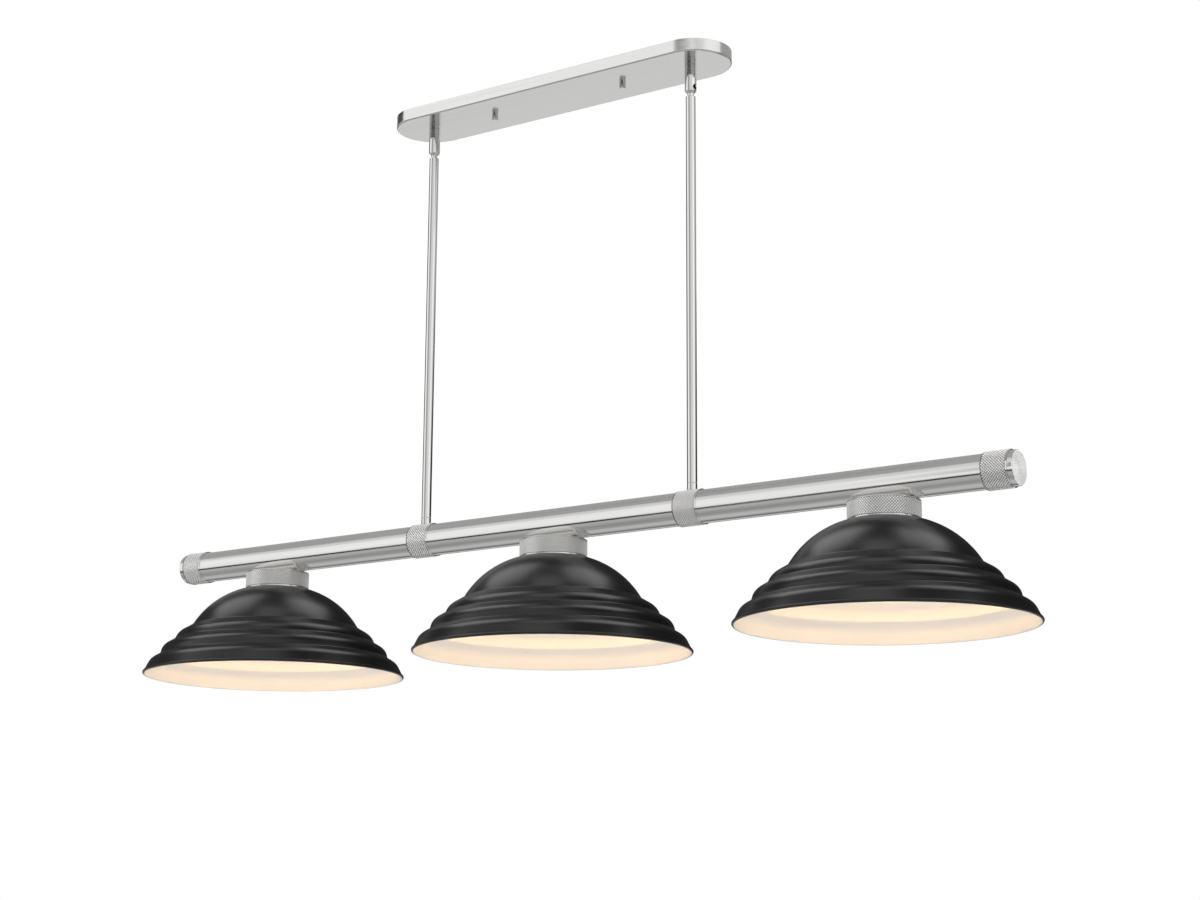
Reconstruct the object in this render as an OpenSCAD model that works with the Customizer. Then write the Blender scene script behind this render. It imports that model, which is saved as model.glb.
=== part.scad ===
// Three-shade billiard light. An oblong canopy against the ceiling carries two rods on slotted ball swivels.
// The rods hold a round bar, and three stepped, spun metal shades hang from knurled drums under the bar.
// Millimetres, +Z up, +X along the bar. The origin is the middle of the canopy's open top, in the ceiling plane.

/* [Canopy] */
// Length of the canopy along the bar
canopy_len = 524; // [480:1:620]
// Width of the canopy, which is also the diameter of its round ends
canopy_w = 98; // [84:1:130]
// Depth of the canopy below the ceiling
canopy_h = 16.5; // [15:0.5:30]
// Sheet thickness of the canopy
canopy_wall = 1.2; // [0.8:0.1:2]
// Outside radius of the canopy's lower edge
canopy_edge_r = 2; // [1.5:0.1:4]

/* [Mounting strap] */
// Distance between the two studs that hold the canopy
stud_pitch = 208; // [170:1:240]
// Width of the strap
strap_w = 25; // [20:1:40]
// Thickness of the strap
strap_t = 2; // [1.5:0.1:3]
// Distance between the middles of the two outlet box slots
box_slot_pitch = 79.5; // [72:0.5:90]
// Length of each outlet box slot from end to end
box_slot_len = 16; // [10:0.5:22]
// Width of each outlet box slot
box_slot_w = 4.6; // [4:0.1:6]
// Diameter of the studs' thread
stud_d = 4.2; // [3:0.1:5]
// Diameter of the cap nuts below the canopy
cap_nut_d = 8.6; // [7.5:0.1:12]
// Height of the cap nuts
cap_nut_h = 8.6; // [7:0.1:14]

/* [Ball swivels and rods] */
// Distance between the two rods
rod_pitch = 417; // [380:1:426]
// Distance from the canopy's underside to the bar's axis
bar_drop = 577.5; // [300:0.5:1200]
// Outside diameter of the swivels
swivel_d = 15; // [14.6:0.1:18]
// Height of the collar between canopy and swivel
collar_h = 7; // [3:0.5:12]
// Height of the swivel's slotted housing
housing_h = 29; // [24:0.5:40]
// Diameter of the ball
ball_d = 12; // [11.6:0.1:12.4]
// Diameter of the housing's mouth, smaller than the ball
mouth_d = 11.6; // [11:0.1:11.8]
// Diameter of the neck below the ball
neck_d = 8; // [7:0.1:8.6]
// Gap that shows between the housing's mouth and the top of the rod
neck_show = 6.5; // [5.5:0.1:10]
// Height of the slot in the housing's outer side
slot_h = 9.5; // [7:0.5:14]
// Outside diameter of the rods
rod_d = 12.7; // [12:0.1:14]
// Diameter of the hollow threaded nipples, and the bore of the rods
nipple_d = 10.3; // [9.5:0.1:10.8]
// Wire bore of the nipples and the balls
wire_bore = 6; // [4:0.1:6.5]
// Height of the threaded foot at the lower end of each rod
foot_h = 8; // [5:0.5:16]

/* [Bar] */
// Outside diameter of the bar
bar_d = 41.6; // [38:0.1:46]
// Length of the bar's tube
bar_len = 1268; // [1160:1:1400]
// Wall of the bar's tube
bar_wall = 1.5; // [1:0.1:2.5]
// Height of the knurled rings above the bar's surface
ring_rise = 1.6; // [1:0.1:3]
// Width of the knurled rings under the rods
rod_ring_w = 34.3; // [24:0.1:50]
// Width of the knurled rings at the bar's ends
end_ring_w = 33; // [20:0.1:50]
// Chamfer at both edges of each knurled ring
ring_chamfer = 1; // [0.4:0.1:1.5]
// Length of the end caps beyond the tube
cap_len = 6.5; // [3:0.1:15]
// Radius of the end caps' outer edge
cap_edge_r = 1.2; // [0.5:0.1:2.5]

/* [Shades] */
// Distance between neighbouring shades
shade_pitch = 470.5; // [420:0.5:540]
// Diameter of the rim
shade_d = 356; // [345:1:375]
// Sheet thickness of the shades
shade_wall = 1.2; // [0.8:0.1:1.6]
// Diameter of the rolled bead round the rim
bead_d = 3.9; // [3.4:0.1:5]

/* [Shade profile] */
// How far the lower band's foot lies inside the rim
lower_step = 2.2; // [1.6:0.1:3]
// Height of the lower band above the rim
lower_h = 23.9; // [21:0.1:28]
// Lean of the lower band's wall from upright, in degrees
lower_lean = 21.5; // [15:0.1:25]
// Radius of the lower band's shoulder
lower_round = 17.6; // [12:0.1:18]
// How far the middle band's foot lies inside the lower band's foot
middle_step = 20; // [18:0.1:24]
// Height of the middle band
middle_h = 19.5; // [17:0.1:24]
// Lean of the middle band's wall from upright, in degrees
middle_lean = 11.7; // [8:0.1:18]
// Radius of the middle band's shoulder
middle_round = 15.5; // [10:0.1:16]
// How far the upper band's foot lies inside the middle band's foot
upper_step = 18.3; // [16:0.1:22]
// Height of the upper band
upper_h = 19.4; // [17:0.1:24]
// Lean of the upper band's wall from upright, in degrees
upper_lean = 16.5; // [12:0.1:20]
// Radius of the upper band's shoulder
upper_round = 19.9; // [14:0.1:20]
// Rise of the bands' roofs towards the wall above, in degrees
roof_rise = 30; // [22:1:34]
// How far the dome's foot lies inside the upper band's foot
dome_step = 21.2; // [19:0.1:25]
// Lean of the dome's wall from upright at its foot, in degrees
dome_lean = 27; // [24:0.1:30]
// Radius of the dome's curve
dome_round = 112.9; // [105:0.1:120]

/* [Drums] */
// Diameter of the knurled drums
drum_d = 86.5; // [80:0.1:92]
// Height of the drums, from the shade to their highest edge
drum_h = 24; // [18:0.1:40]
// Wall of the drums
drum_wall = 2; // [1.5:0.1:3]
// Thickness of the drums' top
drum_top = 2.6; // [2.4:0.1:4]
// Radius of the drums' upper edge
drum_edge_r = 2; // [1:0.1:2.3]
// Depth of the saddle in the drums' top, where the bar beds in
saddle = 1.2; // [0.6:0.1:1.8]

/* [Lamp holders and bulbs] */
// Outside diameter of the lamp holders
holder_d = 39.5; // [36:0.1:42]
// Height of the lamp holders
holder_h = 50; // [46:0.5:56]
// Depth of the lamp holders' cavity
holder_depth = 30; // [29:0.5:32]
// Diameter of the cavity, and outside diameter of the screw shell
holder_bore = 29.2; // [28.6:0.1:30]
// Height of the screw shell
shell_h = 22; // [18:0.5:25]
// Outside diameter of the nuts that clamp the shades
clamp_d = 54; // [48:0.5:60]
// Height of the nuts that clamp the shades
clamp_h = 7; // [5:0.5:10]
// Diameter of the bulbs' cap
bulb_cap_d = 26.3; // [26:0.1:26.4]
// Length of the bulbs' cap
bulb_cap_h = 24; // [22:0.5:25]
// Diameter of the bulbs' glass
bulb_d = 48; // [40:1:60]
// Length of the bulbs' glass
bulb_len = 60; // [50:1:66]

/* [Hidden] */
$fn = 96;

// Clearances
hole_clear = 0.4;      // a threaded part through a plain hole, on the diameter
run_clear = 0.3;       // the ball in its seat, on the radius, and the bulb under its holder
thread_clear = 0.1;    // the bulb's cap in the screw shell, on the radius
stud_clear = 0.05;     // the stud in its cap nut, on the radius
slot_clear = 0.3;      // the ball's neck in the housing's slot, on each side
over = 1;              // how far a cutting tool runs past the face it cuts

// Colours
NICKEL = [0.74, 0.73, 0.71];
BLACK = [0.13, 0.13, 0.14];
ZINC = [0.80, 0.81, 0.82];
BRASS = [0.80, 0.63, 0.30];
PORCELAIN = [0.93, 0.92, 0.88];
GLASS = [0.98, 0.96, 0.90];
GREEN = [0.16, 0.50, 0.24];
ORANGE = [0.88, 0.48, 0.14];

// Feet of the bands, from the lowest to the dome: radius and height above the rim
lower_foot = [shade_d / 2 - lower_step, bead_d / 2];
middle_foot = [lower_foot[0] - middle_step, lower_h];
upper_foot = [middle_foot[0] - upper_step, middle_foot[1] + middle_h];
dome_foot = [upper_foot[0] - dome_step, upper_foot[1] + upper_h];

// The dome's curve starts at its foot, and the flat top is cut where the curve reaches the drum's edge
dome_middle = [dome_foot[0] - dome_round * cos(dome_lean), dome_foot[1] - dome_round * sin(dome_lean)];
dome_crown = dome_middle[1] + dome_round;
shade_h = dome_middle[1] + sqrt(pow(dome_round, 2) - pow(drum_d / 2 - dome_middle[0], 2));

// Levels, from the ceiling down
canopy_bottom = -canopy_h;
canopy_floor = canopy_bottom + canopy_wall;
collar_bottom = canopy_bottom - collar_h;
housing_bottom = collar_bottom - housing_h;
ball_seat_r = ball_d / 2 + run_clear;
ball_z = housing_bottom + sqrt(pow(ball_seat_r, 2) - pow(mouth_d / 2, 2));
rod_top = housing_bottom - neck_show;
bar_z = canopy_bottom - bar_drop;
bar_r = bar_d / 2;
bar_in_r = bar_r - bar_wall;
ring_r = bar_r + ring_rise;
foot_top = bar_z + ring_r + foot_h;
drum_z = bar_z - bar_r + saddle;
shade_top = drum_z - drum_h;
rim_z = shade_top - shade_h;
holder_top = drum_z - drum_top;
holder_mouth = holder_top - holder_h;

// Hexagon nuts on the nipples. Inside the bar their corners rest on the round wall.
nut_flats = 15;
nut_h = 4;
nut_grip = 1.5;
nut_seat = sqrt(pow(bar_in_r, 2) - pow(nut_flats / 2, 2));

hole_d = nipple_d + hole_clear;

// The parts that stand under or over a rod, a stud or a shade's middle
module at_rod(side) translate([side * rod_pitch / 2, 0, 0]) children();
module at_stud(side) translate([side * stud_pitch / 2, 0, 0]) children();
module at_shade(place) translate([place * shade_pitch, 0, 0]) children();

// Cylinder between two heights
module post(d, low, high) translate([0, 0, low]) cylinder(d = d, h = high - low);

// Hollow cylinder between two heights
module pipe(d, bore, low, high) difference() {
    post(d, low, high);
    post(bore, low - over, high + over);
}

// Cylinder along the bar's axis, and past both of its ends
module bar_cutter(r) translate([0, 0, bar_z]) rotate([0, 90, 0])
    cylinder(r = r, h = bar_len + 2 * cap_len, center = true);

// Hexagon nut, flats across Y
module hex_nut(flats, bore, low, high) difference() {
    translate([0, 0, low]) cylinder(d = flats / cos(30), h = high - low, $fn = 6);
    post(bore, low - over, high + over);
}

// Half section of a pan with a rounded lower edge, from the axis out to r
module pan_half(r, high, low, edge) {
    translate([0, low + edge]) square([r, high - low - edge]);
    translate([0, low]) square([r - edge, 2 * edge]);
    translate([r - edge, low + edge]) circle(edge);
}

// Oblong pan with round ends
module oblong_pan(r, high, low, edge) {
    straight = canopy_len - canopy_w;
    for (side = [-1, 1])
        translate([side * straight / 2, 0, 0]) rotate([0, 0, -90 * side])
            rotate_extrude(angle = 180) pan_half(r, high, low, edge);
    rotate([90, 0, 90]) linear_extrude(straight, center = true) {
        pan_half(r, high, low, edge);
        mirror([1, 0]) pan_half(r, high, low, edge);
    }
}

module canopy() color(NICKEL) difference() {
    oblong_pan(canopy_w / 2, 0, canopy_bottom, canopy_edge_r);
    oblong_pan(canopy_w / 2 - canopy_wall, over, canopy_floor, canopy_edge_r - canopy_wall);
    for (side = [-1, 1]) {
        at_rod(side) post(hole_d, canopy_bottom - over, canopy_floor + over);
        at_stud(side) post(stud_d + hole_clear, canopy_bottom - over, canopy_floor + over);
    }
}

// Flat strap against the ceiling, screwed to the outlet box through two slots
ground_screw_x = 65;
ground_screw_d = 3.8;
module mounting_strap() color(ZINC) {
    slot_run = box_slot_len - box_slot_w;
    difference() {
        union() {
            translate([-stud_pitch / 2, -strap_w / 2, -strap_t]) cube([stud_pitch, strap_w, strap_t]);
            for (side = [-1, 1]) at_stud(side) post(strap_w, -strap_t, 0);
        }
        post(hole_d, -strap_t - over, over);
        for (side = [-1, 1]) {
            at_stud(side) post(stud_d, -strap_t - over, over);
            translate([side * box_slot_pitch / 2, 0, 0]) {
                for (end = [-1, 1]) translate([end * slot_run / 2, 0, 0]) post(box_slot_w, -strap_t - over, over);
                translate([-slot_run / 2, -box_slot_w / 2, -strap_t - over])
                    cube([slot_run, box_slot_w, strap_t + 2 * over]);
            }
        }
        translate([ground_screw_x, 0, 0]) post(ground_screw_d, -strap_t - over, over);
    }
}

// Studs from the strap down through the canopy, with a locknut under the strap
cap_nut_top = 3.4;
cap_nut_edge = 0.8;
stud_end = canopy_bottom - cap_nut_h + cap_nut_top;
stud_nut_flats = 7;
stud_nut_h = 2.4;
module canopy_studs() color(ZINC) for (side = [-1, 1]) at_stud(side) post(stud_d, stud_end, 0);
module stud_locknuts() color(ZINC) for (side = [-1, 1])
    at_stud(side) hex_nut(stud_nut_flats, stud_d, -strap_t - stud_nut_h, -strap_t);

// Smooth cap nut that holds the canopy up, turned by hand
module canopy_nut(side) color(NICKEL) at_stud(side) difference() {
    translate([0, 0, canopy_bottom]) rotate_extrude() {
        translate([0, -cap_nut_h + cap_nut_edge]) square([cap_nut_d / 2, cap_nut_h - cap_nut_edge]);
        translate([0, -cap_nut_h]) square([cap_nut_d / 2 - cap_nut_edge, 2 * cap_nut_edge]);
        translate([cap_nut_d / 2 - cap_nut_edge, -cap_nut_h + cap_nut_edge]) circle(cap_nut_edge);
    }
    post(stud_d + 2 * stud_clear, stud_end - run_clear, canopy_bottom + over);
}

// Green bonding screw in the strap
screw_head_d = 8;
screw_head_h = 2.2;
module ground_screw() color(GREEN) translate([ground_screw_x, 0, 0]) {
    post(ground_screw_d, -strap_t, 0);
    post(screw_head_d, -strap_t - screw_head_h, -strap_t);
}

// Twist-on connectors lying on the canopy's floor
connector_d = 11;
connector_tip_d = 8;
connector_len = 20;
connector_pitch = 30;
connector_y = 26;
module wire_connectors() color(ORANGE) for (i = [-1, 0, 1])
    translate([i * connector_pitch, connector_y, canopy_floor + connector_d / 2]) rotate([0, 90, 0])
        cylinder(d1 = connector_d, d2 = connector_tip_d, h = connector_len, center = true);

// Collar between the canopy and the swivel's housing
edge_break = 0.5;
module swivel_collar(side) color(NICKEL) at_rod(side) difference() {
    rotate_extrude() polygon([
        [0, canopy_bottom], [swivel_d / 2, canopy_bottom],
        [swivel_d / 2, collar_bottom + edge_break], [swivel_d / 2 - edge_break, collar_bottom], [0, collar_bottom]
    ]);
    post(hole_d, collar_bottom - over, canopy_bottom + over);
}

// Slotted housing of the ball swivel, with the nipple that passes up through the collar and the canopy
nipple_up = canopy_floor + nut_h + nut_grip;
slot_w = neck_d + 2 * slot_clear;
housing_cap = 5;
module swivel_housing(side) color(NICKEL) at_rod(side) difference() {
    union() {
        rotate_extrude() polygon([
            [0, collar_bottom], [swivel_d / 2 - edge_break, collar_bottom],
            [swivel_d / 2, collar_bottom - edge_break], [swivel_d / 2, housing_bottom + edge_break],
            [swivel_d / 2 - edge_break, housing_bottom], [0, housing_bottom]
        ]);
        post(nipple_d, collar_bottom - over, nipple_up);
    }
    post(wire_bore, housing_bottom, nipple_up + over);
    post(2 * ball_seat_r, ball_z, collar_bottom - housing_cap);
    translate([0, 0, ball_z]) sphere(ball_seat_r);
    post(mouth_d, housing_bottom - over, ball_z);
    translate([0, -slot_w / 2, housing_bottom - over])
        mirror([side < 0 ? 1 : 0, 0, 0]) cube([swivel_d, slot_w, slot_h - slot_w / 2 + over]);
    translate([side * swivel_d / 2, 0, housing_bottom + slot_h - slot_w / 2]) rotate([0, 90, 0])
        cylinder(d = slot_w, h = swivel_d, center = true);
}
module swivel_locknuts() color(ZINC) for (side = [-1, 1])
    at_rod(side) hex_nut(nut_flats, nipple_d, canopy_floor, canopy_floor + nut_h);

// Ball with its neck and the threaded spigot that screws into the rod
spigot_h = 12;
ball_bore = 5;
module swivel_ball(side) color(NICKEL) at_rod(side) difference() {
    union() {
        translate([0, 0, ball_z]) sphere(d = ball_d);
        post(neck_d, rod_top - over, ball_z);
        post(nipple_d, rod_top - spigot_h, rod_top);
    }
    post(ball_bore, rod_top - spigot_h - over, ball_z + ball_d);
}

module rod(side) color(NICKEL) at_rod(side) pipe(rod_d, nipple_d, foot_top, rod_top);

// Threaded foot of the rod, bedded on the knurled ring
module rod_foot(side) color(NICKEL) at_rod(side) difference() {
    pipe(rod_d, nipple_d, bar_z, foot_top);
    translate([0, 0, bar_z]) rotate([0, 90, 0]) cylinder(r = ring_r, h = rod_ring_w, center = true);
}

// Hollow nipples that tie the rods to the bar
rod_nipple_in = 14;
module rod_nipples() color(ZINC) for (side = [-1, 1]) at_rod(side)
    pipe(nipple_d, wire_bore, bar_z + nut_seat - nut_h - nut_grip, foot_top + rod_nipple_in);

// Knurled ring round the bar, from its left edge to its right edge along X
module ring_along_bar(width) translate([0, 0, bar_z]) rotate([0, 90, 0]) rotate_extrude() polygon([
    [bar_r, -width / 2], [ring_r - ring_chamfer, -width / 2], [ring_r, -width / 2 + ring_chamfer],
    [ring_r, width / 2 - ring_chamfer], [ring_r - ring_chamfer, width / 2], [bar_r, width / 2]
]);
module rod_ring(side) color(NICKEL) at_rod(side) difference() {
    ring_along_bar(rod_ring_w);
    post(hole_d, bar_z, bar_z + ring_r + over);
}
module end_ring(side) color(NICKEL)
    translate([side * (bar_len - end_ring_w) / 2, 0, 0]) ring_along_bar(end_ring_w);

module bar_tube() color(NICKEL) difference() {
    translate([0, 0, bar_z]) rotate([0, 90, 0]) difference() {
        cylinder(r = bar_r, h = bar_len, center = true);
        cylinder(r = bar_in_r, h = bar_len + 2 * over, center = true);
    }
    for (side = [-1, 1]) at_rod(side) post(hole_d, bar_z, bar_z + bar_r + over);
    for (place = [-1, 0, 1]) at_shade(place) post(hole_d, bar_z - bar_r - over, bar_z);
}

// Nuts inside the bar, on the nipples of the rods and of the lamp holders
module bar_nuts() color(ZINC) {
    for (side = [-1, 1]) at_rod(side) hex_nut(nut_flats, nipple_d, bar_z + nut_seat - nut_h, bar_z + nut_seat);
    for (place = [-1, 0, 1])
        at_shade(place) hex_nut(nut_flats, nipple_d, bar_z - nut_seat, bar_z - nut_seat + nut_h);
}

// Plug that closes the end of the bar: a head as wide as the bar and a hollow spigot inside the tube
plug_in = 10;
plug_wall = 1.5;
module end_cap(side) color(NICKEL)
    translate([side * bar_len / 2, 0, bar_z]) rotate([0, 90 * side, 0]) difference() {
        rotate_extrude() {
            square([bar_r, cap_len - cap_edge_r]);
            square([bar_r - cap_edge_r, cap_len]);
            translate([bar_r - cap_edge_r, cap_len - cap_edge_r]) intersection() {
                circle(cap_edge_r);
                square(cap_edge_r);
            }
            translate([0, -plug_in]) square([bar_in_r, plug_in + over]);
        }
        translate([0, 0, -plug_in - over]) cylinder(r = bar_in_r - plug_wall, h = plug_in + over);
    }

// Hollow nipples that tie the lamp holders and the drums to the bar
holder_thread = 10;
module lamp_nipples() color(ZINC) for (place = [-1, 0, 1]) at_shade(place)
    pipe(nipple_d, wire_bore, holder_top - holder_thread, bar_z - nut_seat + nut_h + nut_grip);

// Knurled drum: a turned cup with a saddle for the bar, standing on the shade's flat top
module drum(place) color(NICKEL) at_shade(place) difference() {
    translate([0, 0, shade_top]) rotate_extrude() {
        square([drum_d / 2, drum_h - drum_edge_r]);
        square([drum_d / 2 - drum_edge_r, drum_h]);
        translate([drum_d / 2 - drum_edge_r, drum_h - drum_edge_r]) intersection() {
            circle(drum_edge_r);
            square(drum_edge_r);
        }
    }
    post(drum_d - 2 * drum_wall, shade_top - over, drum_z - drum_top);
    post(hole_d, drum_z - drum_top - over, drum_z + over);
    bar_cutter(bar_r);
}

// Half section of one band: a leaning wall that turns through a round shoulder into a roof. The roof rises inwards
// by the angle rise, to the radius inner_r. The wall starts below its foot, within the band under it.
// inside is how far the section lies within the outer face.
module band_half(foot, top, lean, round, rise, inner_r, inside, sunk) {
    low = foot[1] - sunk - inside;
    arc_r = round - inside;
    arc_y = top - round;
    arc_x = foot[0] - tan(lean) * (arc_y + round * sin(lean) - foot[1]) - round * cos(lean);
    eave = [arc_x + arc_r * sin(rise), arc_y + arc_r * cos(rise)];
    ridge_y = eave[1] + (eave[0] - inner_r) * tan(rise);
    polygon([
        [0, low], [foot[0] + tan(lean) * (foot[1] - low) - inside / cos(lean), low],
        [arc_x + arc_r * cos(lean), arc_y + arc_r * sin(lean)], eave, [inner_r, ridge_y], [0, ridge_y]
    ]);
    translate([arc_x, arc_y]) intersection() {
        circle(arc_r);
        square(arc_r);
    }
}

// Half section of the whole shade's body, filled, up to its flat top
module shade_half(inside) intersection() {
    union() {
        sunk = 2 * shade_wall;
        in_lower = middle_foot[0] - 2 * sunk;
        in_middle = upper_foot[0] - 2 * sunk;
        in_upper = dome_foot[0] - 2 * sunk;
        band_half(lower_foot, middle_foot[1], lower_lean, lower_round, roof_rise, in_lower, inside, 0);
        band_half(middle_foot, upper_foot[1], middle_lean, middle_round, roof_rise, in_middle, inside, sunk);
        band_half(upper_foot, dome_foot[1], upper_lean, upper_round, roof_rise, in_upper, inside, sunk);
        band_half(dome_foot, dome_crown, dome_lean, dome_round, 0, dome_middle[0] / 2, inside, sunk);
    }
    square([shade_d, shade_h - inside]);
}

shade_hole = holder_d + hole_clear;
module shade(place) color(BLACK) at_shade(place) translate([0, 0, rim_z]) difference() {
    rotate_extrude() {
        difference() {
            shade_half(0);
            shade_half(shade_wall);
        }
        translate([(shade_d - bead_d) / 2, bead_d / 2]) circle(d = bead_d);
    }
    post(shade_hole, shade_h - shade_wall - over, shade_h + over);
}

// Nut on the lamp holder's thread that clamps the shade up against the drum
module shade_nut(place) color(ZINC) at_shade(place)
    pipe(clamp_d, holder_d, shade_top - shade_wall - clamp_h, shade_top - shade_wall);

// Lamp holder: a solid head on the nipple and a cavity for the bulb's cap
wire_way = 5;
module lamp_holder(place) color(PORCELAIN) at_shade(place) difference() {
    post(holder_d, holder_mouth, holder_top);
    post(holder_bore, holder_mouth - over, holder_mouth + holder_depth);
    post(nipple_d, holder_top - holder_thread, holder_top + over);
    translate([wire_way, 0, 0]) post(wire_way / 2, holder_mouth + holder_depth - over, holder_top - holder_thread + over);
}

// Threaded metal sleeves that take the bulbs' caps
shell_inset = 2;
shell_bore = bulb_cap_d + 2 * thread_clear;
module screw_shells() color(BRASS) for (place = [-1, 0, 1]) at_shade(place)
    pipe(holder_bore, shell_bore, holder_mouth + shell_inset, holder_mouth + shell_inset + shell_h);

// The bulb, from its centre contact down to the glass
bulb_top = holder_mouth - run_clear;
tip_h = 2;
tip_d = 9;
cap_chamfer = 2;
bulb_cap_wall = 1;
glass_wall = 0.8;
module lamp_contacts() color(BRASS) for (place = [-1, 0, 1]) at_shade(place)
    post(tip_d, bulb_top + bulb_cap_h + tip_h + run_clear, holder_mouth + holder_depth);
module bulb_cap(place) color(ZINC) at_shade(place) translate([0, 0, bulb_top]) difference() {
    rotate_extrude() polygon([
        [0, 0], [bulb_cap_d / 2, 0], [bulb_cap_d / 2, bulb_cap_h - cap_chamfer],
        [bulb_cap_d / 2 - cap_chamfer, bulb_cap_h], [tip_d / 2, bulb_cap_h],
        [tip_d / 2 - tip_h / 2, bulb_cap_h + tip_h], [0, bulb_cap_h + tip_h]
    ]);
    post(bulb_cap_d - 2 * bulb_cap_wall, -over, bulb_cap_h - cap_chamfer);
}

// Half section of the glass, filled: a round bulb that tapers straight into the neck under the cap
module glass_half(inside) {
    r = bulb_d / 2;
    neck_r = bulb_cap_d / 2;
    middle = -bulb_len + r;
    touch = atan2(-middle, neck_r) - acos(r / norm([neck_r, middle]));
    polygon([
        [0, middle], [(r - inside) * cos(touch), middle + (r - inside) * sin(touch)],
        [neck_r - inside / cos(touch), 0], [neck_r - inside / cos(touch), inside], [0, inside]
    ]);
    intersection() {
        translate([0, middle]) circle(r - inside);
        translate([0, -bulb_len]) square([r, bulb_len]);
    }
}
module bulb_glass(place) color(GLASS) at_shade(place) translate([0, 0, bulb_top]) rotate_extrude() difference() {
    glass_half(0);
    glass_half(glass_wall);
}

canopy();
mounting_strap();
canopy_studs();
stud_locknuts();
canopy_nut(-1);  // canopy_nut_left
canopy_nut(1);  // canopy_nut_right
ground_screw();
wire_connectors();
swivel_locknuts();
swivel_collar(-1);  // swivel_collar_left
swivel_collar(1);  // swivel_collar_right
swivel_housing(-1);  // swivel_housing_left
swivel_housing(1);  // swivel_housing_right
swivel_ball(-1);  // swivel_ball_left
swivel_ball(1);  // swivel_ball_right
rod(-1);  // rod_left
rod(1);  // rod_right
rod_foot(-1);  // rod_foot_left
rod_foot(1);  // rod_foot_right
rod_nipples();
rod_ring(-1);  // rod_ring_left
rod_ring(1);  // rod_ring_right
bar_tube();
bar_nuts();
end_ring(-1);  // end_ring_left
end_ring(1);  // end_ring_right
end_cap(-1);  // end_cap_left
end_cap(1);  // end_cap_right
lamp_nipples();
drum(-1);  // drum_left
drum(0);  // drum_middle
drum(1);  // drum_right
shade(-1);  // shade_left
shade(0);  // shade_middle
shade(1);  // shade_right
shade_nut(-1);  // shade_nut_left
shade_nut(0);  // shade_nut_middle
shade_nut(1);  // shade_nut_right
lamp_holder(-1);  // lamp_holder_left
lamp_holder(0);  // lamp_holder_middle
lamp_holder(1);  // lamp_holder_right
screw_shells();
lamp_contacts();
bulb_cap(-1);  // bulb_cap_left
bulb_cap(0);  // bulb_cap_middle
bulb_cap(1);  // bulb_cap_right
bulb_glass(-1);  // bulb_glass_left
bulb_glass(0);  // bulb_glass_middle
bulb_glass(1);  // bulb_glass_right
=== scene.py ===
"""Looks of the three-shade billiard light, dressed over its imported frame. Metres, +Z up, +X along the bar."""

import math

import bmesh
import bpy
from mathutils import Matrix, Vector


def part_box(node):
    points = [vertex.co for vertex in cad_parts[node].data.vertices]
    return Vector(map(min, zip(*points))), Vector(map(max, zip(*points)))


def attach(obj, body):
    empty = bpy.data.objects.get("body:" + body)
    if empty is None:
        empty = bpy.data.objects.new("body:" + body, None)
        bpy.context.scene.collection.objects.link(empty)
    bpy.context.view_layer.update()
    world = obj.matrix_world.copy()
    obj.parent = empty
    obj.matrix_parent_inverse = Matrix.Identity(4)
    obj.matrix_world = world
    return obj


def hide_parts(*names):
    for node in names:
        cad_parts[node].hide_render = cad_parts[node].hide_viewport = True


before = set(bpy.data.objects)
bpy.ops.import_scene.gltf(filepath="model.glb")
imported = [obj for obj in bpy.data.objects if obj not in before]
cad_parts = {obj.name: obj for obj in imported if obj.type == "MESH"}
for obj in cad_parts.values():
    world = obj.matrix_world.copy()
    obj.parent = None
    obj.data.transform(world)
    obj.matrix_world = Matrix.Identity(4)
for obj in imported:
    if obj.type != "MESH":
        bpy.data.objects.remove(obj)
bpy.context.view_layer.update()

MM = 0.001
FULL_TURN = 2 * math.pi
QUARTER = math.pi / 2
FRAME_BODY = "hanging_frame"
ROOT_BODY = "ceiling_mount"
SIDES = ("left", "right")
PLACES = ("left", "middle", "right")

# Round pieces: how many steps a full turn takes, by the size of the piece
COARSE = 48
MEDIUM = 96
FINE = 192

# Below this a length counts as zero
TINY = 1e-9

# Small edges that the solids leave sharp, and the slack where one piece goes through another
EDGE = 0.35 * MM
EDGE_STEPS = 6
SLIP = 0.02 * MM

# Knurl: diamonds at 45 degrees
KNURL_PITCH = 3.5 * MM
KNURL_DEPTH = 0.7 * MM
KNURL_FLAT = 0.48      # a diamond's flat top, as a share of its cell
KNURL_FOOT = 0.76      # where its flanks meet the groove's floor
KNURL_SMOOTH = 20      # edges over so many degrees are sharp
LIP = 1.2 * MM
LIP_CHAMFER = 0.8 * MM
# The crown's material is painted lighter as painted light, the groove's painted dark as painted shade
LIT_CROWN, BRIGHT, SHADED_GROOVE = 0, 1, 2      # its materials' places in their list

# Shade: the same bands as the solid, from the rim up. Each has its foot's inset from the band below, its
# height, its lean and its shoulder.
SHADE_WALL = 1.2 * MM
BEAD_R = 1.95 * MM
BEAD_STEPS = 24
BEAD_WHITE_STEPS = 7    # how far the white paint goes round the bead from the inside
HOLDER_SLACK = 0.2 * MM
SHADE_SMOOTH = 24       # edges over so many degrees are sharp
BLACK, WHITE = 0, 1
SHADE_BANDS = (
    (2.2 * MM, 23.9 * MM, math.radians(21.5), 17.6 * MM),
    (20.0 * MM, 19.5 * MM, math.radians(11.7), 15.5 * MM),
    (18.3 * MM, 19.4 * MM, math.radians(16.5), 19.9 * MM),
)
DOME_STEP = 21.2 * MM
DOME_LEAN = math.radians(27)
DOME_ROUND = 112.9 * MM
ROOF_RISE = math.radians(30)
CREASE = 3 * MM         # hollow rounding between a roof and the wall above it
ARC_STEPS = 12
DOME_STEPS = 28

# Drum: its rounded top edge, its wall and the metal over its hollow
DRUM_ROUND = 2 * MM
DRUM_WALL = 2 * MM
DRUM_ROOF = 2.6 * MM

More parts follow.
